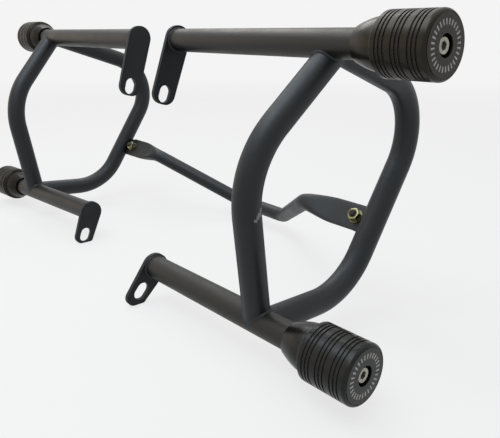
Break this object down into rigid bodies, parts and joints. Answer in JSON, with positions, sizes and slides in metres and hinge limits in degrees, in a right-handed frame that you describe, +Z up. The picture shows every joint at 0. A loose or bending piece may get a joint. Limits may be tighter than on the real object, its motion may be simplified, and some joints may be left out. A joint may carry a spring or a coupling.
{
  "type": "motorcycle crash bar",
  "caption": "Pair of black tubular side guards with bracket plates and end sliders, joined by a bolted cross brace.",
  "frame": {"origin": "on the upper tubes' common axis, midway between the two side hoops", "axes": "+X to the motorcycle's right, out along the right upper tube; +Y forward, to the cross brace; +Z up"},
  "size_m": [0.814, 0.304, 0.3054],
  "materials": {
    "tube_coat": "matte black powder coat",
    "bracket_coat": "matte black powder coat",
    "slider_plastic": "satin black turned plastic",
    "zinc_steel": "zinc plated",
    "yellow_zinc": "yellow zinc plated"
  },
  "bodies": {
    "root": {"right_upper_tube": "tube_coat", "right_lower_tube": "tube_coat", "right_rear_hoop": "tube_coat", "right_front_hoop": "tube_coat", "right_upper_bracket": "bracket_coat", "right_lower_bracket": "bracket_coat", "right_brace_tab": "bracket_coat", "left_upper_tube": "tube_coat", "left_lower_tube": "tube_coat", "left_rear_hoop": "tube_coat", "left_front_hoop": "tube_coat", "left_upper_bracket": "bracket_coat", "left_lower_bracket": "bracket_coat", "left_brace_tab": "bracket_coat", "right_upper_slider": "slider_plastic", "right_lower_slider": "slider_plastic", "left_upper_slider": "slider_plastic", "left_lower_slider": "slider_plastic", "right_upper_slider_bolt": "zinc_steel", "right_lower_slider_bolt": "zinc_steel", "left_upper_slider_bolt": "zinc_steel", "left_lower_slider_bolt": "zinc_steel", "right_upper_slider_washer": "zinc_steel", "right_lower_slider_washer": "zinc_steel", "left_upper_slider_washer": "zinc_steel", "left_lower_slider_washer": "zinc_steel", "right_upper_insert": "zinc_steel", "right_lower_insert": "zinc_steel", "left_upper_insert": "zinc_steel", "left_lower_insert": "zinc_steel", "cross_brace": "tube_coat", "right_brace_bolt": "yellow_zinc", "left_brace_bolt": "yellow_zinc", "right_brace_nut": "yellow_zinc", "left_brace_nut": "yellow_zinc", "right_brace_washer": "yellow_zinc", "left_brace_washer": "yellow_zinc"}
  },
  "joints": []
}
